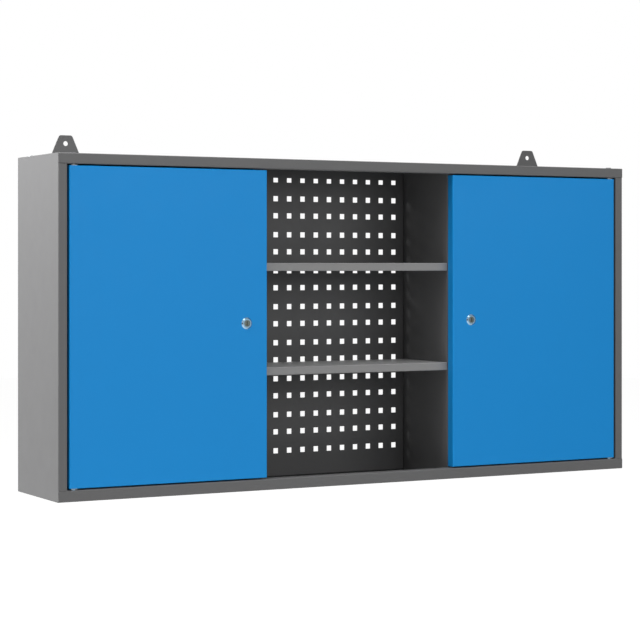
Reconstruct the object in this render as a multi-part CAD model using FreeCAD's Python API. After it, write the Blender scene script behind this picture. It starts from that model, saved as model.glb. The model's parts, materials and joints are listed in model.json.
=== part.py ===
import FreeCAD, Part
import math
import os

# Wall cabinet for tools. Two lockable doors turn on pivot pins, the open middle bay has two shelves and a
# perforated back, plain shelves lie behind the doors, and two ears hang the cabinet on a wall.
# Lengths are in millimetres. X runs to the right, Y from the front to the wall, Z up. The origin lies under
# the middle of the whole object, level with the underside. A setback is a distance behind the front face.

# Case
case_width = 1200.0
case_height = 600.0
case_depth = 200.0
case_sheet = 1.0
case_bend = 1.0
top_rail = 18.6
bottom_rail = 20.0
stile = 16.5
stile_lip = 15.0
rear_flange = 25.0
joining_flange = 15.0
joining_flange_end = 30.0
case_fit = 0.2

# Bays and dividers
bay_width = 397.5
divider_flange = 18.0
divider_rear_flange = 15.0

# Perforated back panel of the middle bay
panel_sheet = 1.0
panel_bend = 1.0
panel_fit = 0.3
hook_room = 18.0
grid_hole = 10.0
grid_column_pitch = 29.15
grid_first_row = 51.3
grid_row_step = 36.3
grid_row_pair_pitch = 69.0
grid_rim = 15.0

# Shelves and the brackets that carry them
shelf_sheet = 1.0
shelf_bend = 1.0
shelf_lip = 14.8
shelf_hem = 8.0
shelf_rear_lip = 12.0
shelf_fit = 0.5
lower_shelf_top = 221.0
upper_shelf_top = 411.0
bay_shelf_setback = 40.0
bay_shelf_fit = 1.0
bracket_sheet = 1.5
bracket_leg = 11.0
bracket_front = 50.0
bracket_back = 3.0

# Hanger ears
hanger_sheet = 2.0
hanger_inset = 91.5
hanger_foot_width = 62.0
hanger_top_width = 24.5
hanger_rise = 43.5
hanger_drop = 20.0
hanger_corner = 5.0
hanger_hole_radius = 4.5
hanger_hole_rise = 28.5

# Doors
door_gap = 2.8
hinge_gap = 3.8
door_depth = 17.5
door_sheet = 1.0
door_bend = 1.0
door_lip = 12.0
stiffener_sheet = 0.8
stiffener_brim = 12.0
stiffener_slope = 5.0
stiffener_crown = 28.0
stiffener_height = 11.0
stiffener_fit = 0.5

# Rubber pads between door and divider
pad_width = 9.0
pad_thickness = 2.2
pad_gap = 0.3
pad_inset = 7.0
pad_end_distance = 76.0

# Pivot pins and their bushes
pin_radius = 3.0
pin_inset = 9.3
pin_setback = 6.5
pin_reach = 12.0
pin_fit = 0.05
pin_head_radius = 5.0
pin_head_height = 1.3
pin_base_brim = 1.5
bush_wall = 1.4
bush_brim = 1.0
bush_flange = 1.0
bush_length = 8.0
bush_fit = 0.02
thrust_gap = 0.3

# Cam locks
lock_inset = 41.2
lock_height = 302.3
plug_radius = 6.0
plug_recess = 0.5
plug_fit = 0.05
plug_neck = 3.0
keyway_width = 1.4
keyway_height = 8.0
keyway_depth = 6.0
keyway_ward = 1.0
barrel_wall = 2.9
barrel_flat_inset = 1.0
barrel_fit = 0.05
bezel_brim = 1.5
bezel_proud = 2.0
bezel_slope = 2.2
clip_grip = 0.8
clip_thickness = 1.2
clip_wall = 5.0
clip_drop = 9.0
clip_fit = 0.05
cam_thickness = 2.0
cam_gap = 2.0
cam_overlap = 9.6
cam_width = 13.0
cam_tip_corner = 3.0
cam_square = 7.0
cam_square_fit = 0.05

# One overrun for every cut, and the bend of a sharp fold
overrun = 5.0
sharp = 0

# Places that follow from the sizes
case_bend_outer = case_bend + case_sheet
front_y = -(bezel_proud + case_depth + hanger_sheet) / 2 + bezel_proud
case_side = case_width / 2
bay_side = bay_width / 2
divider_setback = door_depth + pad_gap + pad_thickness
divider_back = case_depth - 2 * case_sheet
panel_setback = case_depth - case_sheet - hook_room
door_hinge_side = case_side - stile - hinge_gap
door_bottom = bottom_rail + door_gap
door_top = case_height - top_rail - door_gap
pin_side = door_hinge_side - pin_inset
lock_side = bay_side + lock_inset
barrel_radius = plug_radius + plug_fit + barrel_wall
barrel_flat = barrel_radius - barrel_flat_inset
clip_throat = barrel_flat - clip_grip
cam_setback = divider_setback + case_sheet + cam_gap
cam_reach = lock_inset - divider_flange + cam_overlap
shelf_tops = {"lower": lower_shelf_top, "upper": upper_shelf_top}


def point(x, setback, z):
    """A point given by its setback behind the front face."""
    return FreeCAD.Vector(x, front_y + setback, z)


def block(x, setback, z):
    """A box from three pairs of limits."""
    size = (x[1] - x[0], setback[1] - setback[0], z[1] - z[0])
    return Part.makeBox(*size, point(x[0], setback[0], z[0]))


def pin_z(x, setback, z, radius):
    """An upright cylinder between two heights."""
    return Part.makeCylinder(radius, z[1] - z[0], point(x, setback, z[0]))


def pin_y(x, z, setback, radius):
    """A cylinder from front to back between two setbacks."""
    length = setback[1] - setback[0]
    return Part.makeCylinder(radius, length, point(x, setback[0], z), FreeCAD.Vector(0, 1, 0))


def square_z(x, setback, z, half):
    """An upright square bar between two heights."""
    return block((x - half, x + half), (setback - half, setback + half), z)


def square_y(x, z, setback, half):
    """A square bar from front to back between two setbacks."""
    return block((x - half, x + half), setback, (z - half, z + half))


def mirrored(shape):
    """The same piece on the left of the cabinet."""
    return shape.mirror(FreeCAD.Vector(0, 0, 0), FreeCAD.Vector(1, 0, 0))


def on_both_sides(shapes):
    """One node of the right-hand pieces and their mirrored twins."""
    return Part.Compound(shapes + [mirrored(shape) for shape in shapes])


def fold_edges(corner, step, following, sheet, bend):
    """Where one face of a sheet turns at a corner of its middle line: the arc's three points, or the sharp one."""
    normal, turned = [FreeCAD.Vector(-way.y, way.x, 0) for way in (step, following)]
    if bend == sharp:
        return [corner + (normal + turned) * (sheet / 2 / (1 + normal.dot(turned)))]
    middle_radius = bend + sheet / 2
    turn = math.atan2(step.cross(following).z, step.dot(following))
    side = math.copysign(1, turn)
    centre = corner - step * (middle_radius * math.tan(abs(turn) / 2)) + normal * (side * middle_radius)
    radius = middle_radius - side * sheet / 2
    halfway = (normal + turned).normalize()
    return [centre - way * (side * radius) for way in (normal, halfway, turned)]


def sheet_face(corners, sheet, bends, to_point):
    """Edges along the left face of a folded sheet, whose middle line has the given corners, and its two ends."""
    flat = [FreeCAD.Vector(a, b, 0) for a, b in corners]
    steps = [(after - before).normalize() for before, after in zip(flat, flat[1:])]
    first, last = [FreeCAD.Vector(-step.y, step.x, 0) * (sheet / 2) for step in (steps[0], steps[-1])]
    start = begin = to_point(flat[0] + first)
    edges = []
    for corner, step, following, bend in zip(flat[1:], steps, steps[1:], bends):
        turn = [to_point(place) for place in fold_edges(corner, step, following, sheet, bend)]
        edges.append(Part.LineSegment(start, turn[0]).toShape())
        if bend != sharp:
            edges.append(Part.Arc(*turn).toShape())
        start = turn[-1]
    finish = to_point(flat[-1] + last)
    edges.append(Part.LineSegment(start, finish).toShape())
    return edges, begin, finish


def folded_sheet(corners, sheet, bends, to_point, run):
    """A sheet folded at the inner corners of its middle line, each with its bend, and drawn out along a run."""
    there, there_start, there_end = sheet_face(corners, sheet, bends, to_point)
    back, back_start, back_end = sheet_face(corners[::-1], sheet, bends[::-1], to_point)
    far_edge = Part.LineSegment(there_end, back_start).toShape()
    near_edge = Part.LineSegment(back_end, there_start).toShape()
    outline = Part.Wire(there + [far_edge] + back + [near_edge])
    return Part.Face(outline).extrude(run)


def side_section(corners, sheet, bends, x):
    """A folded sheet with its section seen from the side, given as setback and height, drawn out along X."""
    def to_point(place):
        return point(x[0], place.x, place.y)
    return folded_sheet(corners, sheet, bends, to_point, FreeCAD.Vector(x[1] - x[0], 0, 0))


def plan_section(corners, sheet, bends, z):
    """A folded sheet with its section seen from above, given as X and setback, drawn out along Z."""
    def to_point(place):
        return point(place.x, place.y, z[0])
    return folded_sheet(corners, sheet, bends, to_point, FreeCAD.Vector(0, 0, z[1] - z[0]))


def soft_block(x, setback, z, radius):
    """A box with its four front edges rounded like folds that meet in mitres at the corners."""
    box = block(x, setback, z)
    front_edges = [edge for edge in box.Edges if edge.BoundBox.YMax < front_y + setback[0] + radius / 2]
    across = [edge for edge in front_edges if edge.BoundBox.XLength > radius]
    upright = [edge for edge in front_edges if edge.BoundBox.ZLength > radius]
    return box.makeFillet(radius, across).common(box.makeFillet(radius, upright))


def top_panel():
    """Top sheet, folded down to the front rail and to a rear flange, with holes for the upper pins."""
    half = case_sheet / 2
    lower = case_height - top_rail
    corners = [(divider_setback, lower + half), (half, lower + half), (half, case_height - half),
               (case_depth - half, case_height - half), (case_depth - half, case_height - rear_flange)]
    panel = side_section(corners, case_sheet, (case_bend, case_bend, sharp), (-case_side, case_side))
    inner = case_height - case_sheet
    ends = [block(x, (case_sheet, case_depth + overrun), (inner - rear_flange - overrun, inner))
            for x in ((-case_side - overrun, case_sheet - case_side), (case_side - case_sheet, case_side + overrun))]
    through = (lower - overrun, case_height + overrun)
    holes = [pin_z(x, pin_setback, through, pin_radius + pin_fit) for x in (-pin_side, pin_side)]
    return panel.cut(ends + holes)


def bottom_panel():
    """Bottom sheet, folded up to the front rail and to a rear flange."""
    half = case_sheet / 2
    corners = [(divider_setback, bottom_rail - half), (half, bottom_rail - half), (half, half),
               (case_depth - half, half), (case_depth - half, rear_flange)]
    panel = side_section(corners, case_sheet, (case_bend, case_bend, sharp), (-case_side, case_side))
    ends = [block(x, (case_sheet, case_depth + overrun), (case_sheet, rear_flange + overrun))
            for x in ((-case_side - overrun, case_sheet - case_side), (case_side - case_sheet, case_side + overrun))]
    return panel.cut(ends)


def joining_flanges(inner_face, direction, width):
    """Flanges along the top and bottom edge of an upright sheet, under the top and on the bottom panel."""
    x = sorted((inner_face, inner_face + direction * width))
    setback = (joining_flange_end, case_depth - joining_flange_end)
    levels = ((case_sheet, 2 * case_sheet), (case_height - 2 * case_sheet, case_height - case_sheet))
    return [block(x, setback, z) for z in levels]


def right_side_panel():
    """Side sheet, folded to the front stile with its lip and to a rear flange between those of top and bottom."""
    half = case_sheet / 2
    corners = [(case_side - stile + half, stile_lip), (case_side - stile + half, half), (case_side - half, half),
               (case_side - half, case_depth - half), (case_side - rear_flange, case_depth - half)]
    panel = plan_section(corners, case_sheet, (case_bend, case_bend, sharp), (case_sheet, case_height - case_sheet))
    inner_face = case_side - case_sheet
    inside = (inner_face - rear_flange - stile, inner_face)
    front_strip = (-overrun, case_sheet)
    cutters = []
    for z in ((case_sheet - overrun, bottom_rail), (case_height - top_rail, case_height + overrun)):
        cutters.append(block(inside, (-overrun, stile_lip + overrun), z))
        cutters.append(block((inner_face - overrun, case_side + overrun), front_strip, z))
    for z in ((case_sheet - overrun, rear_flange), (case_height - rear_flange, case_height + overrun)):
        cutters.append(block(inside, (case_depth - rear_flange, case_depth + overrun), z))
    flanges = joining_flanges(inner_face, -1, joining_flange - case_sheet)
    return panel.cut(cutters).fuse(flanges).removeSplitter()


def right_divider():
    """Upright sheet beside the middle bay. Its front flange stops the door and holds the cam."""
    half = case_sheet / 2
    corners = [(bay_side + divider_flange, divider_setback + half), (bay_side + half, divider_setback + half),
               (bay_side + half, divider_back - half), (bay_side + divider_rear_flange, divider_back - half)]
    panel = plan_section(corners, case_sheet, (case_bend, sharp), (case_sheet, case_height - case_sheet))
    return panel.fuse(joining_flanges(bay_side + case_sheet, 1, joining_flange - case_sheet)).removeSplitter()


def right_back_panel():
    """Plain sheet behind a closed bay, in front of the rear flanges."""
    x = (bay_side, case_side - case_sheet - case_fit)
    z = (case_sheet + case_fit, case_height - case_sheet - case_fit)
    return block(x, (divider_back, divider_back + case_sheet), z)


def grid_holes(half_width, top):
    """Square holes in columns about the middle and in rows that lie in pairs."""
    columns = int((2 * (half_width - grid_rim) - grid_hole) / grid_column_pitch) + 1
    pairs = int((top - grid_rim - grid_hole / 2 - grid_row_step - grid_first_row) / grid_row_pair_pitch) + 1
    through = (panel_setback - overrun, panel_setback + overrun)
    holes = []
    for column in range(columns):
        x = (column - (columns - 1) / 2) * grid_column_pitch
        for row in range(2 * pairs):
            z = grid_first_row + row // 2 * grid_row_pair_pitch + row % 2 * grid_row_step
            holes.append(square_y(x, z, through, grid_hole / 2))
    return holes


def perforated_back_panel():
    """Pan of the middle bay's back, folded to the wall all round, with square holes for tool hooks."""
    half_width = bay_side - panel_fit
    bottom = case_bend_outer + case_fit
    top = case_height - case_bend_outer - case_fit
    rear = case_depth - case_sheet
    outer = soft_block((-half_width, half_width), (panel_setback, rear), (bottom, top), panel_bend + panel_sheet)
    hollow = soft_block((panel_sheet - half_width, half_width - panel_sheet),
                        (panel_setback + panel_sheet, rear + overrun),
                        (bottom + panel_sheet, top - panel_sheet), panel_bend)
    pan = outer.cut(hollow)
    return pan.cut(Part.Compound(grid_holes(half_width, top)))


def shelf(x, setback, top, bends):
    """Shelf with a lip and hem at its front and a lip at its rear."""
    half = shelf_sheet / 2
    corners = [(setback[0] + shelf_hem, top - shelf_lip + half), (setback[0] + half, top - shelf_lip + half),
               (setback[0] + half, top - half), (setback[1] - half, top - half),
               (setback[1] - half, top - shelf_rear_lip)]
    return side_section(corners, shelf_sheet, bends, x)


def middle_shelf(top):
    """Shelf of the open bay, flush with the dividers' front edges."""
    half_width = bay_side - shelf_fit
    setback = (divider_setback, panel_setback - panel_fit)
    return shelf((-half_width, half_width), setback, top, (shelf_bend, shelf_bend, sharp))


def right_bay_shelf(top):
    """Shelf behind a door, clear of the cam."""
    x = (bay_side + case_sheet + bay_shelf_fit, case_side - case_sheet - bay_shelf_fit)
    setback = (bay_shelf_setback, divider_back - case_sheet - panel_fit)
    return shelf(x, setback, top, (sharp, sharp, sharp))


def bracket(face, direction, top):
    """Angle under a shelf's end, welded on the face of an upright sheet."""
    setback = (bracket_front, panel_setback - bracket_back)
    level = top - shelf_sheet
    under_shelf = block(sorted((face, face + direction * bracket_leg)), setback, (level - bracket_sheet, level))
    on_face = block(sorted((face, face + direction * bracket_sheet)), setback, (level - bracket_leg, level))
    return under_shelf.fuse(on_face).removeSplitter()


def shelf_brackets():
    """Brackets for both ends of every shelf."""
    faces = ((bay_side, -1), (bay_side + case_sheet, 1), (case_side - case_sheet, -1))
    return on_both_sides([bracket(face, direction, top)
                          for face, direction in faces for top in shelf_tops.values()])


def right_hanger():
    """Ear on the rear flange of the top, with a hole for the wall screw."""
    x = case_side - hanger_inset
    foot = hanger_foot_width / 2
    head = hanger_top_width / 2
    top = case_height + hanger_rise
    outline = [(x - foot, case_height - hanger_drop), (x + foot, case_height - hanger_drop), (x + foot, case_height),
               (x + head, top), (x - head, top), (x - foot, case_height)]
    corners = [point(a, case_depth, z) for a, z in outline]
    plate = Part.Face(Part.makePolygon(corners + corners[:1])).extrude(FreeCAD.Vector(0, hanger_sheet, 0))
    top_corners = [edge for edge in plate.Edges
                   if edge.BoundBox.ZMin > top - hanger_corner and edge.BoundBox.XLength < hanger_corner]
    plate = plate.makeFillet(hanger_corner, top_corners)
    hole = pin_y(x, case_height + hanger_hole_rise, (case_depth - overrun, case_depth + overrun), hanger_hole_radius)
    return plate.cut(hole)


def right_door_pan():
    """Door sheet folded back on four sides, with inner lips and holes for the lock and the bushes."""
    x = (bay_side, door_hinge_side)
    z = (door_bottom, door_top)
    outer = soft_block(x, (0, door_depth), z, door_bend + door_sheet)
    hollow = soft_block((x[0] + door_sheet, x[1] - door_sheet), (door_sheet, door_depth - door_sheet),
                        (z[0] + door_sheet, z[1] - door_sheet), door_bend)
    window = block((x[0] + door_lip, x[1] - door_lip), (door_depth / 2, door_depth + overrun),
                   (z[0] + door_lip, z[1] - door_lip))
    lock_hole = flatted_bar((-overrun, door_depth / 2), barrel_radius + barrel_fit, barrel_flat + barrel_fit)
    bush_hole = square_z(pin_side, pin_setback, (z[0] - overrun, z[1] + overrun), bush_half() + bush_fit)
    return outer.cut([hollow, window, lock_hole, bush_hole])


def right_door_stiffener():
    """Hat section up the middle of the door, on the rear of its sheet."""
    middle = (bay_side + door_hinge_side) / 2
    half = stiffener_sheet / 2
    low = door_sheet + half
    high = door_sheet + stiffener_height - half
    crown = stiffener_crown / 2
    root = crown + stiffener_slope
    brim = root + stiffener_brim
    corners = [(middle - brim, low), (middle - root, low), (middle - crown, high),
               (middle + crown, high), (middle + root, low), (middle + brim, low)]
    ends = door_sheet + door_bend + stiffener_fit
    folds = [sharp] * (len(corners) - 2)
    return plan_section(corners, stiffener_sheet, folds, (door_bottom + ends, door_top - ends))


def bush_half():
    """Half the width of the bushes' square bodies."""
    return pin_radius + pin_fit + bush_wall


def bush(face, direction):
    """Flanged bush in the upper (direction 1) or lower (direction -1) edge of the right door."""
    flange = sorted((face, face + direction * bush_flange))
    body = sorted((face, face - direction * bush_length))
    shape = square_z(pin_side, pin_setback, flange, bush_half() + bush_brim)
    shape = shape.fuse(square_z(pin_side, pin_setback, body, bush_half()))
    bore = pin_z(pin_side, pin_setback, (body[0] - overrun, body[1] + overrun), pin_radius + pin_fit)
    return shape.cut(bore).removeSplitter()


def right_door_bushes():
    """The upper and lower bush of the right door."""
    return Part.Compound([bush(door_top, 1), bush(door_bottom, -1)])


def upper_pivot_pins():
    """Pins dropped through the top and the rail's lip into the doors, with flat heads on the top."""
    head = pin_z(pin_side, pin_setback, (case_height, case_height + pin_head_height), pin_head_radius)
    shank = pin_z(pin_side, pin_setback, (door_top - pin_reach, case_height), pin_radius)
    return on_both_sides([shank.fuse(head).removeSplitter()])


def lower_pivot_pins():
    """Pins welded on the lower rail's lip, with broad bases that carry the doors."""
    base_top = door_bottom - bush_flange - thrust_gap
    base = pin_z(pin_side, pin_setback, (bottom_rail, base_top), pin_radius + pin_base_brim)
    shank = pin_z(pin_side, pin_setback, (base_top, door_bottom + pin_reach), pin_radius)
    return on_both_sides([shank.fuse(base).removeSplitter()])


def door_pads():
    """Rubber pads on the dividers' front flanges, two for each door."""
    setback = (divider_setback - pad_thickness, divider_setback)
    heights = (door_bottom + pad_end_distance, door_top - pad_end_distance)
    return on_both_sides([square_y(bay_side + pad_inset, z, setback, pad_width / 2) for z in heights])


def flatted_bar(setback, radius, flat):
    """A bar along the lock's axis, round but for two upright flats."""
    slab = block((lock_side - flat, lock_side + flat), setback, (lock_height - radius, lock_height + radius))
    return pin_y(lock_side, lock_height, setback, radius).common(slab)


def right_lock_body():
    """Bezel and flatted barrel of the lock, bored for the plug and grooved for the clip."""
    front_radius = barrel_radius + bezel_brim - bezel_slope
    axis = FreeCAD.Vector(0, 1, 0)
    bezel = Part.makeCone(front_radius, barrel_radius + bezel_brim, bezel_proud,
                          point(lock_side, -bezel_proud, lock_height), axis)
    barrel = flatted_bar((0, cam_setback - plug_neck), barrel_radius, barrel_flat)
    groove = (door_sheet, door_sheet + clip_thickness + clip_fit)
    high = (lock_height - barrel_radius, lock_height + barrel_radius)
    grooves = [block(sorted((lock_side + side * clip_throat, lock_side + side * barrel_radius)), groove, high)
               for side in (-1, 1)]
    bore = pin_y(lock_side, lock_height, (-bezel_proud - overrun, cam_setback), plug_radius + plug_fit)
    return bezel.fuse(barrel).cut(grooves + [bore]).removeSplitter()


def right_lock_clip():
    """Forked clip pushed down over the barrel's grooves, behind the door sheet."""
    setback = (door_sheet, door_sheet + clip_thickness)
    half = barrel_radius + clip_wall
    throat = clip_throat + clip_fit
    roof = lock_height + barrel_radius + clip_fit
    plate = block((lock_side - half, lock_side + half), setback, (lock_height - clip_drop, roof + clip_wall))
    slot = block((lock_side - throat, lock_side + throat), (-overrun, door_sheet + overrun),
                 (lock_height - clip_drop - overrun, roof))
    return plate.cut(slot)


def right_lock_plug():
    """Plug with a keyway at its front and a square stub for the cam."""
    front = plug_recess - bezel_proud
    plug = pin_y(lock_side, lock_height, (front, cam_setback), plug_radius)
    stub = square_y(lock_side, lock_height, (cam_setback, cam_setback + cam_thickness), cam_square / 2)
    deep = (front - overrun, front + keyway_depth)
    key = block((lock_side - keyway_width / 2, lock_side + keyway_width / 2), deep,
                (lock_height - keyway_height / 2, lock_height + keyway_height / 2))
    ward = block((lock_side, lock_side + keyway_width / 2 + keyway_ward), deep,
                 (lock_height - keyway_height / 2 + keyway_ward, lock_height - keyway_ward))
    return plug.fuse(stub).cut([key, ward]).removeSplitter()


def right_lock_cam():
    """Cam plate, hanging down from the plug's stub when unlocked."""
    setback = (cam_setback, cam_setback + cam_thickness)
    half_width = cam_width / 2
    hub = pin_y(lock_side, lock_height, setback, half_width)
    tip = lock_height - cam_reach
    arm = block((lock_side - half_width, lock_side + half_width), setback, (tip, lock_height))
    tip_corners = [edge for edge in arm.Edges
                   if edge.BoundBox.ZMax < tip + cam_tip_corner and edge.BoundBox.XLength < cam_tip_corner]
    arm = arm.makeChamfer(cam_tip_corner, tip_corners)
    square = square_y(lock_side, lock_height, (cam_setback - overrun, cam_setback + overrun),
                      cam_square / 2 + cam_square_fit)
    return hub.fuse(arm).cut(square).removeSplitter()


def export(node, shape):
    """Write one node as a STEP file."""
    shape.exportStep("parts/" + node + ".step")


def export_pair(name, shape):
    """Write a right-hand piece and its mirrored twin. The mark {} in the name takes the side."""
    export(name.format("right"), shape)
    export(name.format("left"), mirrored(shape))


os.makedirs("parts", exist_ok=True)

export("top_panel", top_panel())
export("bottom_panel", bottom_panel())
export("perforated_back_panel", perforated_back_panel())
for level, shelf_top in shelf_tops.items():
    export(level + "_middle_shelf", middle_shelf(shelf_top))
    export_pair("{}_bay_" + level + "_shelf", right_bay_shelf(shelf_top))
export("shelf_brackets", shelf_brackets())
export("door_pads", door_pads())
export("upper_pivot_pins", upper_pivot_pins())
export("lower_pivot_pins", lower_pivot_pins())
export_pair("{}_side_panel", right_side_panel())
export_pair("{}_divider", right_divider())
export_pair("{}_back_panel", right_back_panel())
export_pair("{}_hanger", right_hanger())
export_pair("{}_door_pan", right_door_pan())
export_pair("{}_door_stiffener", right_door_stiffener())
export_pair("{}_door_bushes", right_door_bushes())
export_pair("{}_lock_body", right_lock_body())
export_pair("{}_lock_clip", right_lock_clip())
export_pair("{}_lock_plug", right_lock_plug())
export_pair("{}_lock_cam", right_lock_cam())
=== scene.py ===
import json
import math

import bmesh
import bpy
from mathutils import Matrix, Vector


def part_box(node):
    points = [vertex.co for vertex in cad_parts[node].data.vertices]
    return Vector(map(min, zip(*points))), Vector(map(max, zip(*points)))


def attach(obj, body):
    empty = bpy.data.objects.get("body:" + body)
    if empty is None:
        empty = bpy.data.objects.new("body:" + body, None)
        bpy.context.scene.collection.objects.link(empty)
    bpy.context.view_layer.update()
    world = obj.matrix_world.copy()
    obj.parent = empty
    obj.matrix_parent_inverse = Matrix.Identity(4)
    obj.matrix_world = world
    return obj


# Wall-hung tool cabinet with two blue doors, an open middle bay, two cam locks and two hanger ears.
# Lengths are in metres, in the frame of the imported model. Sizes in millimetres are written with MM.
MM = 0.001
SIDES = {"left": -1, "right": 1}

# Camera, from the vanishing points and silhouette of the photograph
CAMERA_PLACE = (-1.8242, -3.2705, 0.4078)
CAMERA_TURN = math.radians(-28.679)
CAMERA_LENS = 110.806
CAMERA_SENSOR = 36.0
CAMERA_SHIFT_Y = -0.08642

# Paints and metals, as linear colours
CASE_GREY = (0.102, 0.102, 0.103)
# The inner paint on the back panel is the case paint made darker: painted shade for the deep bay
PANEL_GREY_WITH_PAINTED_SHADE = (0.061, 0.061, 0.062)
# The dividers are the case paint made a little lighter: painted light on their faces in the bay
DIVIDER_GREY_WITH_PAINTED_LIGHT = (0.112, 0.112, 0.113)
SHELF_GREY = (0.205, 0.205, 0.205)
DOOR_BLUE = (0.0045, 0.222, 0.568)
# Chrome darkened and tinted blue: a painted reflection of the blue doors and of darker surroundings than the white
# world
CHROME_WITH_PAINTED_REFLECTION = (0.178, 0.283, 0.376)
PLUG_NICKEL = (0.078, 0.095, 0.09)
ZINC = (0.42, 0.43, 0.44)
BRASS = (0.2, 0.15, 0.07)
NYLON = (0.3, 0.36, 0.4)
DARK_STEEL = (0.12, 0.12, 0.125)
RUBBER = (0.022, 0.022, 0.023)
# Dark colour of the marks on the bezels, a painted reflection of a gap between lights
DARK_REFLECTION_MARK = (0.03, 0.032, 0.034)
WHITE = (1.0, 1.0, 1.0)

# Textures: noise in waves per metre, bumps as (strength, distance), tones as shares of the colour
TONE_WAVES = 2.2
RUB_WAVES = 26.0
# Fine cloud that breaks up the painted top light on faces that look up
PAINTED_TOP_LIGHT_CLOUD_WAVES = 60.0
PEEL_WAVES = 420.0
GRAIN_WAVES = 900.0
SPECK_WAVES = 2600.0
PLATING_CLOUD_WAVES = 160.0
HAIR_WAVES = 1400.0
MOULD_CLOUD_WAVES = 240.0
MOULD_GRAIN_WAVES = 2200.0
PEEL_BUMP = (0.12, 0.1 * MM)
GRAIN_BUMP = (0.05, 0.05 * MM)
HAIR_BUMP = (0.06, 0.02 * MM)
MOULD_BUMP = (0.1, 0.05 * MM)
TONE_SHARES = (0.985, 1.015)
GRAIN_SHARE = 1.03
SPECK_SHARE = 0.93
PLATING_SHARES = (0.94, 1.04)
HAIR_SHARE = 0.85
MOULD_SHARES = (0.88, 1.1)

# Textures: the part of a noise or slope that is spread, and what it is spread to
WHOLE = (0.0, 1.0)
NOISE_RANGE = (0.3, 0.7)
SPECK_RANGE = (0.66, 0.74)
SPECK_STRENGTH = (0.0, 0.35)
HAIR_RANGE = (0.5, 0.8)
HAIR_STRENGTH = (0.0, 0.3)
# Painted top light: how far up a face must look, and how strongly the cloud breaks it up
LEVEL_RANGE = (0.2, 0.9)
PAINTED_TOP_LIGHT_CLOUD_STRENGTH = (0.8, 1.0)
COAT_GLOSS_SPREAD = 0.03
MOULD_GLOSS_SPREAD = 0.05
PLATING_GLOSS_SHARES = (0.7, 1.3)
MOULD_SPECULAR = 0.4
UNBRUSHED = (1.0, 1.0, 1.0)
BRUSHED_Y = (1.0, 9.0, 1.0)
BRUSHED_Z = (1.0, 1.0, 9.0)
FINE_BRUSHED_Z = (1.0, 1.0, 14.0)

# Sockets of the colour mix node
MIX_FACTOR = 0
MIX_FIRST = 6
MIX_SECOND = 7
MIX_RESULT = 2

# Studio
FLOOR_DROP = 0.6
FLOOR_RADIUS = 14.0
FLOOR_SEGMENTS = 96
FLOOR_COLOUR = (0.86, 0.86, 0.86)
FLOOR_GLOW = 0.955
WORLD_LIGHT = 0.03
WORLD_WHITE = 1.0
LAMPS = {
    "left_lamp": {
        "place": (-1.6, 0.1, 1.5), "aim": (-0.6, 0.0, 0.45), "size": (0.9, 0.9), "power": 51.0},
    "rear_left_lamp": {
        "place": (-2.0, 1.6, 1.8), "aim": (-0.6, 0.0, 0.4), "size": (1.2, 1.2), "power": 72.0},
    "top_lamp": {
        "place": (-1.0, -1.5, 3.0), "aim": (0.0, -0.1, 0.3), "size": (1.8, 1.1), "power": 26.0},
    "front_lamp": {
        "place": (0.0, -3.8, 1.5), "aim": (0.0, 0.0, 0.3), "size": (2.2, 2.4), "power": 46.0},
    "right_front_lamp": {
        "place": (2.0, -3.3, 1.4), "aim": (0.1, 0.0, 0.3), "size": (1.6, 1.8), "power": 28.0},
    "left_front_lamp": {
        "place": (-3.0, -1.8, 1.6), "aim": (-0.3, 0.0, 0.35), "size": (1.6, 1.6), "power": 5.0},
    "low_front_lamp": {
        "place": (0.4, -3.8, 0.7), "aim": (0.0, 0.0, 0.3), "size": (2.4, 1.2), "power": 5.0},
}

# Lock bezels: softened edges, and a dark mark on the slope at nine o'clock, a painted reflection of a dark gap
# between lights
EDGE_WIDTH = 0.45 * MM
EDGE_SEGMENTS = 3
EDGE_ANGLE = math.radians(40)
BEZEL_DEPTH = 2.0 * MM
BEZEL_SLOPE = 2.2 * MM
MARK_LENGTH = 2.8 * MM
MARK_WIDTH = 2.6 * MM
MARK_SUNK = 0.05 * MM
MARK_THICKNESS = 0.15 * MM
MARK_STEPS = 8

# Wafers in the keyways
WAFER_COUNT = 4
WAFER_THICKNESS = 0.5 * MM
WAFER_STEP = 1.1 * MM
WAFER_DEPTH = 1.6 * MM
WAFER_LIFT = 0.5 * MM
WAFER_HALF_HEIGHT = 2.4 * MM
WAFER_HALF_WIDTH = 0.62 * MM
WAFER_NOTCH_HALF = 0.8 * MM
WAFER_NOTCH_FLOOR = 0.2 * MM

# Pan-head screws
TOP_SCREW_INSET = 7 * MM
TOP_SCREW_BACK = 48 * MM
PAN_HEAD_RADIUS = 5.0 * MM
PAN_HEAD_HEIGHT = 2.3 * MM
PAN_HEAD_FOOT = 0.2 * MM
DOME_STEPS = 6
CROSS_LENGTH = 5.2 * MM
CROSS_WIDTH = 1.1 * MM
CROSS_DEPTH = 1.3 * MM
WASHER_RADIUS = 4.9 * MM
WASHER_HEIGHT = 0.8 * MM
LATHE_STEPS = 48

# Spot welds, with the profile as shares of radius and height
WELD_RADIUS = 2.6 * MM
WELD_HEIGHT = 0.16 * MM
WELD_PROFILE = ((1.0, 0.0), (0.85, 1.0), (0.55, 0.6), (0.0, 0.5))
WELD_STEPS = 20
WELD_PITCH = 75 * MM
WELD_EDGE = 12 * MM
WELD_CORNER = 48 * MM
STIFFENER_SHEET = 0.8 * MM
BRIM_MIDDLE = 5 * MM

# Directions
UP = (0, 0, 1)
BACK = (0, 1, 0)

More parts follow.
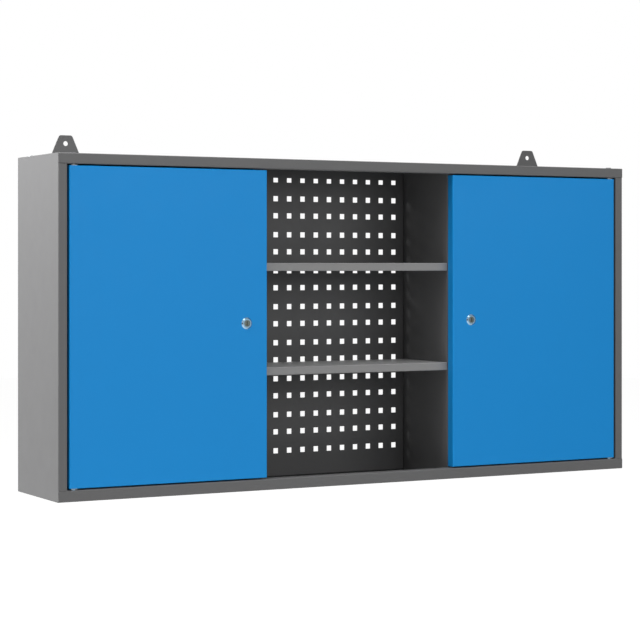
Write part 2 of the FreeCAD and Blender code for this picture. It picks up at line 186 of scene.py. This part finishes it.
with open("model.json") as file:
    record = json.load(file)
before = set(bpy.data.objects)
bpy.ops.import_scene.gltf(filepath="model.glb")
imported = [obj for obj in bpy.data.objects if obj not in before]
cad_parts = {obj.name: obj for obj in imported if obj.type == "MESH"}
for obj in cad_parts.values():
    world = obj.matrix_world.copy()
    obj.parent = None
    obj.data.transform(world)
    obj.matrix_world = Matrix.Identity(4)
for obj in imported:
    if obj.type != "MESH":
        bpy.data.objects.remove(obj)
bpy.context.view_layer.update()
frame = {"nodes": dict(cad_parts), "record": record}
nodes = frame["nodes"]


class Shader:
    """A material with a principled shader, and the few nodes that the finishes share."""

    def __init__(self, name, roughness, metallic=0.0, specular=0.5):
        self.material = bpy.data.materials.new(name)
        self.material.use_nodes = True
        self.tree = self.material.node_tree
        self.bsdf = self.tree.nodes["Principled BSDF"]
        self.bsdf.inputs["Metallic"].default_value = metallic
        self.bsdf.inputs["Roughness"].default_value = roughness
        self.bsdf.inputs["Specular IOR Level"].default_value = specular
        self.place = self.tree.nodes.new("ShaderNodeTexCoord").outputs["Object"]

    def link(self, source, target):
        """Join an output to an input."""
        self.tree.links.new(source, target)

    def noise(self, waves, detail, stretch=UNBRUSHED):
        """Noise of some waves per metre, stretched along the axes."""
        mapping = self.tree.nodes.new("ShaderNodeMapping")
        mapping.inputs["Scale"].default_value = stretch
        self.link(self.place, mapping.inputs["Vector"])
        texture = self.tree.nodes.new("ShaderNodeTexNoise")
        texture.inputs["Scale"].default_value = waves
        texture.inputs["Detail"].default_value = detail
        self.link(mapping.outputs["Vector"], texture.inputs["Vector"])
        return texture.outputs["Fac"]

    def spread(self, value, limits, part=NOISE_RANGE):
        """The part of a value between two bounds, spread between two limits."""
        node = self.tree.nodes.new("ShaderNodeMapRange")
        for socket, number in zip(("From Min", "From Max", "To Min", "To Max"), (*part, *limits)):
            node.inputs[socket].default_value = number
        self.link(value, node.inputs["Value"])
        return node.outputs["Result"]

    def mixed(self, factor, first, second):
        """A colour between two, by a factor. Each is a colour or a socket."""
        mix = self.tree.nodes.new("ShaderNodeMix")
        mix.data_type = "RGBA"
        self.link(factor, mix.inputs[MIX_FACTOR])
        for index, colour in ((MIX_FIRST, first), (MIX_SECOND, second)):
            if isinstance(colour, tuple):
                mix.inputs[index].default_value = (*colour, 1.0)
            else:
                self.link(colour, mix.inputs[index])
        return mix.outputs[MIX_RESULT]

    def painted_top_light_mask(self):
        """Mask of the painted top light: how far a face looks up, from 0 for upright to 1 for level, broken up by a
        fine cloud.
        """
        split = self.tree.nodes.new("ShaderNodeSeparateXYZ")
        geometry = self.tree.nodes.new("ShaderNodeNewGeometry")
        self.link(geometry.outputs["True Normal"], split.inputs["Vector"])
        level = self.spread(split.outputs["Z"], WHOLE, LEVEL_RANGE)
        cloud = self.spread(self.noise(PAINTED_TOP_LIGHT_CLOUD_WAVES, detail=4.0), PAINTED_TOP_LIGHT_CLOUD_STRENGTH)
        both = self.tree.nodes.new("ShaderNodeMath")
        both.operation = "MULTIPLY"
        self.link(level, both.inputs[0])
        self.link(cloud, both.inputs[1])
        return both.outputs["Value"]

    def bump(self, *heights):
        """Bumps laid over each other, each a height socket, a strength and a distance."""
        normal = None
        for height, strength, distance in heights:
            node = self.tree.nodes.new("ShaderNodeBump")
            node.inputs["Strength"].default_value = strength
            node.inputs["Distance"].default_value = distance
            self.link(height, node.inputs["Height"])
            if normal:
                self.link(normal, node.inputs["Normal"])
            normal = node.outputs["Normal"]
        self.link(normal, self.bsdf.inputs["Normal"])


def shaded(colour, share):
    """A colour made lighter or darker by a share."""
    return tuple(channel * share for channel in colour)


def between(shader, factor, colour, shares):
    """A colour that goes between two shares of itself."""
    low, high = shares
    return shader.mixed(factor, shaded(colour, low), shaded(colour, high))


def around(middle, spread):
    """Limits at a distance on both sides of a middle."""
    return (middle - spread, middle + spread)


def powder_coat(name, colour, roughness, specular, painted_top_light_share):
    """Baked powder coat: orange peel, fine grain, a slow change of tone, and painted top light that makes the faces
    that look up lighter.
    """
    shader = Shader(name, roughness, specular=specular)
    slow = shader.spread(shader.noise(TONE_WAVES, detail=2.0), WHOLE)
    grain = shader.spread(shader.noise(GRAIN_WAVES, detail=2.0), WHOLE)
    tone = between(shader, slow, colour, TONE_SHARES)
    grained = shader.mixed(grain, tone, shaded(colour, GRAIN_SHARE))
    speck = shader.spread(shader.noise(SPECK_WAVES, detail=1.0), SPECK_STRENGTH, SPECK_RANGE)
    specked = shader.mixed(speck, grained, shaded(colour, SPECK_SHARE))
    # Painted top light: faces that look up take a lighter copy of the colour, in place of light from above
    top_lit_colour = shader.mixed(shader.painted_top_light_mask(), specked, shaded(colour, painted_top_light_share))
    shader.link(top_lit_colour, shader.bsdf.inputs["Base Color"])
    rubbed = shader.noise(RUB_WAVES, detail=4.0)
    gloss = shader.spread(rubbed, around(roughness, COAT_GLOSS_SPREAD))
    shader.link(gloss, shader.bsdf.inputs["Roughness"])
    peel = shader.noise(PEEL_WAVES, detail=1.5)
    shader.bump((peel, *PEEL_BUMP), (grain, *GRAIN_BUMP))
    return shader.material


def plated(name, colour, roughness, brushed):
    """Plated metal with hairlines, cloudy gloss and a slow change of tone."""
    shader = Shader(name, roughness, metallic=1.0)
    cloud = shader.spread(shader.noise(PLATING_CLOUD_WAVES, detail=3.0), WHOLE)
    hair = shader.noise(HAIR_WAVES, detail=2.0, stretch=brushed)
    tone = between(shader, cloud, colour, PLATING_SHARES)
    streak = shader.spread(hair, HAIR_STRENGTH, HAIR_RANGE)
    streaked = shader.mixed(streak, tone, shaded(colour, HAIR_SHARE))
    shader.link(streaked, shader.bsdf.inputs["Base Color"])
    low, high = PLATING_GLOSS_SHARES
    gloss = shader.spread(hair, (roughness * low, roughness * high))
    shader.link(gloss, shader.bsdf.inputs["Roughness"])
    shader.bump((hair, *HAIR_BUMP))
    return shader.material


def moulded(name, colour, roughness):
    """Rubber, nylon or the dark painted reflection marks, with a fine grain and a cloudy tone."""
    shader = Shader(name, roughness, specular=MOULD_SPECULAR)
    cloud = shader.spread(shader.noise(MOULD_CLOUD_WAVES, detail=3.0), WHOLE)
    grain = shader.noise(MOULD_GRAIN_WAVES, detail=2.0)
    shader.link(between(shader, cloud, colour, MOULD_SHARES), shader.bsdf.inputs["Base Color"])
    gloss = shader.spread(grain, around(roughness, MOULD_GLOSS_SPREAD))
    shader.link(gloss, shader.bsdf.inputs["Roughness"])
    shader.bump((grain, *MOULD_BUMP))
    return shader.material


# The last share of each paint lightens the faces that look up, as painted top light
MATERIALS = {
    "case_paint": powder_coat("case_paint", CASE_GREY, roughness=0.46, specular=0.24, painted_top_light_share=1.9),
    "inner_paint": powder_coat("inner_paint", PANEL_GREY_WITH_PAINTED_SHADE, roughness=0.48, specular=0.24, painted_top_light_share=1.4),
    "divider_paint": powder_coat("divider_paint", DIVIDER_GREY_WITH_PAINTED_LIGHT, roughness=0.52, specular=0.18, painted_top_light_share=1.4),
    "shelf_paint": powder_coat("shelf_paint", SHELF_GREY, roughness=0.46, specular=0.28, painted_top_light_share=1.85),
    "door_paint": powder_coat("door_paint", DOOR_BLUE, roughness=0.46, specular=0.17, painted_top_light_share=1.2),
    # The lock chrome, also on the lower pivot pins, carries the painted blue reflection
    "lock_chrome": plated("lock_chrome", CHROME_WITH_PAINTED_REFLECTION, roughness=0.16, brushed=FINE_BRUSHED_Z),
    "plug_nickel": plated("plug_nickel", PLUG_NICKEL, roughness=0.3, brushed=FINE_BRUSHED_Z),
    "zinc_steel": plated("zinc_steel", ZINC, roughness=0.3, brushed=BRUSHED_Y),
    "dark_steel": plated("dark_steel", DARK_STEEL, roughness=0.36, brushed=BRUSHED_Y),
    "wafer_brass": plated("wafer_brass", BRASS, roughness=0.3, brushed=BRUSHED_Z),
    "bush_plastic": moulded("bush_plastic", NYLON, roughness=0.5),
    "pad_rubber": moulded("pad_rubber", RUBBER, roughness=0.7),
    # Dark bezel marks: a painted reflection of a gap between lights
    "painted_reflection_mark": moulded("painted_reflection_mark", DARK_REFLECTION_MARK, roughness=0.45),
}


def dress(piece, finish):
    """Give a piece one finish on all its faces."""
    piece.data.materials.clear()
    piece.data.materials.append(MATERIALS[finish])


def soften(piece):
    """Round the sharp edges of a piece a little."""
    bevel = piece.modifiers.new("soft_edges", "BEVEL")
    bevel.width = EDGE_WIDTH
    bevel.segments = EDGE_SEGMENTS
    bevel.limit_method = "ANGLE"
    bevel.angle_limit = EDGE_ANGLE
    bevel.harden_normals = True


def dress_cad_nodes():
    """Every node takes the finish of its slot; pins, dividers and plugs get one of their own."""
    slots = {row["node"]: row["material_slot"] for row in frame["record"]["subparts"]}
    for name, piece in nodes.items():
        dress(piece, slots[name])
    dress(nodes["upper_pivot_pins"], "dark_steel")
    dress(nodes["lower_pivot_pins"], "lock_chrome")
    for side in SIDES:
        # Dividers take the lighter copy of the case paint, as painted light
        dress(nodes[side + "_divider"], "divider_paint")
        dress(nodes[side + "_lock_plug"], "plug_nickel")
        soften(nodes[side + "_lock_body"])


def add_piece(name, mesh, finish, body):
    """Put a mesh in the scene as a piece that rides on a body, in a slot where one is given."""
    piece = bpy.data.objects.new(name, mesh)
    bpy.context.scene.collection.objects.link(piece)
    dress(piece, finish)
    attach(piece, body)
    return piece


def lathe(mesh, profile, centre, axis, steps):
    """Turn a profile of (radius, height) pairs about an axis through a centre, into a bmesh."""
    along = Vector(axis).normalized()
    across = along.orthogonal().normalized()
    other = along.cross(across)
    rings = []
    for radius, height in profile:
        foot = Vector(centre) + along * height
        if radius == 0:
            rings.append([mesh.verts.new(foot)] * steps)
            continue
        turns = (2 * math.pi * step / steps for step in range(steps))
        rings.append([mesh.verts.new(foot + (across * math.cos(turn) + other * math.sin(turn)) * radius)
                      for turn in turns])
    for low, high in zip(rings, rings[1:]):
        for step in range(steps):
            ahead = (step + 1) % steps
            corners = [low[step], low[ahead], high[ahead], high[step]]
            distinct = list(dict.fromkeys(corners))
            if len(distinct) > 2:
                mesh.faces.new(distinct).smooth = True


def finished(name, mesh):
    """A Blender mesh from a bmesh, with its normals outwards."""
    bmesh.ops.recalc_face_normals(mesh, faces=mesh.faces)
    made = bpy.data.meshes.new(name)
    mesh.to_mesh(made)
    mesh.free()
    return made


def prism(mesh, outline, base, run):
    """Draw a closed outline of points out along a run, into a bmesh."""
    low = [mesh.verts.new(Vector(base) + Vector(place)) for place in outline]
    high = [mesh.verts.new(vertex.co + Vector(run)) for vertex in low]
    mesh.faces.new(low)
    mesh.faces.new(high)
    for index in range(len(outline)):
        ahead = (index + 1) % len(outline)
        mesh.faces.new([low[index], low[ahead], high[ahead], high[index]])


def cross_outline(across, other):
    """The twelve points of a cross recess in a plane."""
    arm, half = CROSS_LENGTH / 2, CROSS_WIDTH / 2
    quarter = [(arm, -half), (arm, half), (half, half)]
    outline = []
    for turn in range(4):
        for a, b in quarter:
            for _ in range(turn):
                a, b = -b, a
            outline.append(across * a + other * b)
    return outline


def pan_head_profile():
    """The pan head's profile: washer face, upright rim and dome."""
    profile = [(0.0, 0.0), (WASHER_RADIUS, 0.0), (PAN_HEAD_RADIUS, PAN_HEAD_FOOT), (PAN_HEAD_RADIUS, WASHER_HEIGHT)]
    for step in range(1, DOME_STEPS):
        turn = math.pi / 2 * step / DOME_STEPS
        rise = (PAN_HEAD_HEIGHT - WASHER_HEIGHT) * math.sin(turn)
        profile.append((PAN_HEAD_RADIUS * math.cos(turn), WASHER_HEIGHT + rise))
    profile.append((0.0, PAN_HEAD_HEIGHT))
    return profile


def pan_head_screw(name, centre, axis, body):
    """Pan-head screw with a washer face, a domed head and a cross recess cut into it."""
    head = bmesh.new()
    lathe(head, pan_head_profile(), centre, axis, LATHE_STEPS)
    piece = add_piece(name, finished(name, head), "zinc_steel", body)
    along = Vector(axis).normalized()
    across = along.orthogonal().normalized()
    recess = bmesh.new()
    floor = Vector(centre) + along * (PAN_HEAD_HEIGHT - CROSS_DEPTH)
    prism(recess, cross_outline(across, along.cross(across)), floor, along * PAN_HEAD_HEIGHT)
    cutter = bpy.data.objects.new(name + "_cutter", finished(name + "_cutter", recess))
    bpy.context.scene.collection.objects.link(cutter)
    cut = piece.modifiers.new("cross_recess", "BOOLEAN")
    cut.object = cutter
    cut.solver = "EXACT"
    bpy.context.view_layer.objects.active = piece
    bpy.ops.object.modifier_apply(modifier=cut.name)
    bpy.data.objects.remove(cutter)


def top_screws():
    """The screws that hold the top on the sides."""
    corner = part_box("top_panel")[1]
    for side, sign in SIDES.items():
        centre = (sign * (corner.x - TOP_SCREW_INSET), corner.y - TOP_SCREW_BACK, corner.z)
        pan_head_screw(side + "_top_screw", centre, UP, "cabinet")


def cam_screws():
    """The screws that clamp the cams on the plugs."""
    for side in SIDES:
        low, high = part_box(side + "_lock_plug")
        centre = ((low.x + high.x) / 2, high.y, (low.z + high.z) / 2)
        pan_head_screw(side + "_cam_screw", centre, BACK, side + "_lock")


def keyway_wafers():
    """Brass wafers with a notch, deep in the keyways, alternately a little high and low."""
    width, height, notch = WAFER_HALF_WIDTH, WAFER_HALF_HEIGHT, WAFER_NOTCH_HALF
    outline = [(-width, 0, -height), (width, 0, -height), (width, 0, -notch), (WAFER_NOTCH_FLOOR, 0, 0),
               (width, 0, notch), (width, 0, height), (-width, 0, height)]
    for side in SIDES:
        low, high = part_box(side + "_lock_plug")
        x, z = (low.x + high.x) / 2, (low.z + high.z) / 2
        stack = bmesh.new()
        for step in range(WAFER_COUNT):
            base = (x, low.y + WAFER_DEPTH + step * WAFER_STEP, z + WAFER_LIFT * (-1) ** step)
            prism(stack, outline, base, (0, WAFER_THICKNESS, 0))
        add_piece(side + "_keyway_wafers", finished("wafers", stack), "wafer_brass", side + "_lock")


def painted_reflection_marks():
    """A dark mark on the slope of each bezel, at nine o'clock: a painted reflection of a dark gap between lights.
    """
    slope = Vector((-BEZEL_SLOPE, BEZEL_DEPTH, 0)).normalized()
    normal = Vector((-BEZEL_DEPTH, -BEZEL_SLOPE, 0)).normalized()
    radius, straight = MARK_WIDTH / 2, (MARK_LENGTH - MARK_WIDTH) / 2
    outline = []
    for end in (1, -1):
        for step in range(MARK_STEPS + 1):
            turn = math.pi * (step / MARK_STEPS - 0.5)
            along = slope * (end * (straight + radius * math.cos(turn)))
            outline.append(along + Vector((0, 0, end * radius * math.sin(turn))))
    for side in SIDES:
        low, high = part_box(side + "_lock_body")
        middle = Vector((low.x + BEZEL_SLOPE / 2, low.y + BEZEL_DEPTH / 2, (low.z + high.z) / 2))
        mark = bmesh.new()
        prism(mark, outline, middle - normal * MARK_SUNK, normal * MARK_THICKNESS)
        add_piece(side + "_lock_reflection_mark", finished("lock_reflection_mark", mark), "painted_reflection_mark", side + "_door")


def weld_row(mesh, start, end):
    """Spot welds, slightly domed, evenly between two points on a face that looks back."""
    run = Vector(end) - Vector(start)
    count = max(2, round(run.length / WELD_PITCH) + 1)
    profile = [(WELD_RADIUS * across, WELD_HEIGHT * up) for across, up in WELD_PROFILE]
    for step in range(count):
        lathe(mesh, profile, Vector(start) + run * (step / (count - 1)), BACK, WELD_STEPS)


def back_welds():
    """Spot welds round the back, where the flanges hold the back sheets."""
    welds = bmesh.new()
    low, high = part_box("top_panel")
    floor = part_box("bottom_panel")[0].z
    back = high.y
    for z in (high.z - WELD_EDGE, floor + WELD_EDGE):
        weld_row(welds, (low.x + WELD_CORNER, back, z), (high.x - WELD_CORNER, back, z))
    for x in (low.x + WELD_EDGE, high.x - WELD_EDGE):
        weld_row(welds, (x, back, floor + WELD_CORNER), (x, back, high.z - WELD_CORNER))
    add_piece("back_welds", finished("back_welds", welds), "case_paint", "cabinet")


def door_welds():
    """Spot welds along the brims of each door's stiffener."""
    for side in SIDES:
        low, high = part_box(side + "_door_stiffener")
        brim = low.y + STIFFENER_SHEET
        welds = bmesh.new()
        for x in (low.x + BRIM_MIDDLE, high.x - BRIM_MIDDLE):
            weld_row(welds, (x, brim, low.z + WELD_EDGE), (x, brim, high.z - WELD_EDGE))
        add_piece(side + "_door_welds", finished("door_welds", welds), "case_paint", side + "_door")


def seen_directly(tree):
    """A socket that is 1 for camera, glossy and transmission rays."""
    path = tree.nodes.new("ShaderNodeLightPath")
    total = path.outputs["Is Camera Ray"]
    for name in ("Is Glossy Ray", "Is Transmission Ray"):
        either = tree.nodes.new("ShaderNodeMath")
        either.operation = "MAXIMUM"
        tree.links.new(total, either.inputs[0])
        tree.links.new(path.outputs[name], either.inputs[1])
        total = either.outputs["Value"]
    return total


def seen_share(tree, strength):
    """A strength that only camera, glossy and transmission rays see."""
    scaled = tree.nodes.new("ShaderNodeMath")
    scaled.operation = "MULTIPLY"
    scaled.inputs[1].default_value = strength
    tree.links.new(seen_directly(tree), scaled.inputs[0])
    return scaled.outputs["Value"]


def floor_material():
    """Pale floor that looks white where it is lit and keeps shadows."""
    material = bpy.data.materials.new("floor")
    material.use_nodes = True
    tree = material.node_tree
    tree.nodes.clear()
    diffuse = tree.nodes.new("ShaderNodeBsdfDiffuse")
    diffuse.inputs["Color"].default_value = (*FLOOR_COLOUR, 1.0)
    glow = tree.nodes.new("ShaderNodeEmission")
    tree.links.new(seen_share(tree, FLOOR_GLOW), glow.inputs["Strength"])
    both = tree.nodes.new("ShaderNodeAddShader")
    output = tree.nodes.new("ShaderNodeOutputMaterial")
    tree.links.new(diffuse.outputs[0], both.inputs[0])
    tree.links.new(glow.outputs[0], both.inputs[1])
    tree.links.new(both.outputs[0], output.inputs["Surface"])
    return material


def white_world():
    """A world that looks white and lights the object at a plain level."""
    world = bpy.data.worlds.new("white_world")
    world.use_nodes = True
    tree = world.node_tree
    background = tree.nodes["Background"]
    background.inputs["Color"].default_value = (*WHITE, 1.0)
    level = tree.nodes.new("ShaderNodeMapRange")
    level.inputs["To Min"].default_value = WORLD_LIGHT
    level.inputs["To Max"].default_value = WORLD_WHITE
    tree.links.new(seen_directly(tree), level.inputs["Value"])
    tree.links.new(level.outputs["Result"], background.inputs["Strength"])
    return world


def add_lamp(name, place, aim, size, power):
    """A rectangular area lamp that looks at a point."""
    light = bpy.data.lights.new(name, "AREA")
    light.shape = "RECTANGLE"
    light.size, light.size_y = size
    light.energy = power
    lamp = bpy.data.objects.new(name, light)
    lamp.location = place
    lamp.rotation_euler = (Vector(aim) - Vector(place)).to_track_quat("-Z", "Y").to_euler()
    bpy.context.scene.collection.objects.link(lamp)


def studio():
    """Pale floor below the hanging cabinet, a white world and soft lamps."""
    disc = bmesh.new()
    bmesh.ops.create_circle(disc, cap_ends=True, segments=FLOOR_SEGMENTS, radius=FLOOR_RADIUS)
    floor = bpy.data.objects.new("floor", finished("floor", disc))
    floor.location = (0, 0, -FLOOR_DROP)
    bpy.context.scene.collection.objects.link(floor)
    floor.data.materials.append(floor_material())
    bpy.context.scene.world = white_world()
    for name, lamp in LAMPS.items():
        add_lamp(name, **lamp)


def photograph_camera():
    """The photograph's camera, level, with the shift that its straight uprights ask for."""
    data = bpy.data.cameras.new("camera")
    data.lens = CAMERA_LENS
    data.sensor_width = CAMERA_SENSOR
    data.sensor_fit = "HORIZONTAL"
    data.shift_y = CAMERA_SHIFT_Y
    camera = bpy.data.objects.new("camera", data)
    camera.location = CAMERA_PLACE
    camera.rotation_euler = (math.pi / 2, 0, CAMERA_TURN)
    bpy.context.scene.collection.objects.link(camera)
    bpy.context.scene.camera = camera


dress_cad_nodes()
top_screws()
cam_screws()
keyway_wafers()
painted_reflection_marks()
back_welds()
door_welds()
studio()
photograph_camera()
bpy.context.scene.view_settings.view_transform = "Standard"
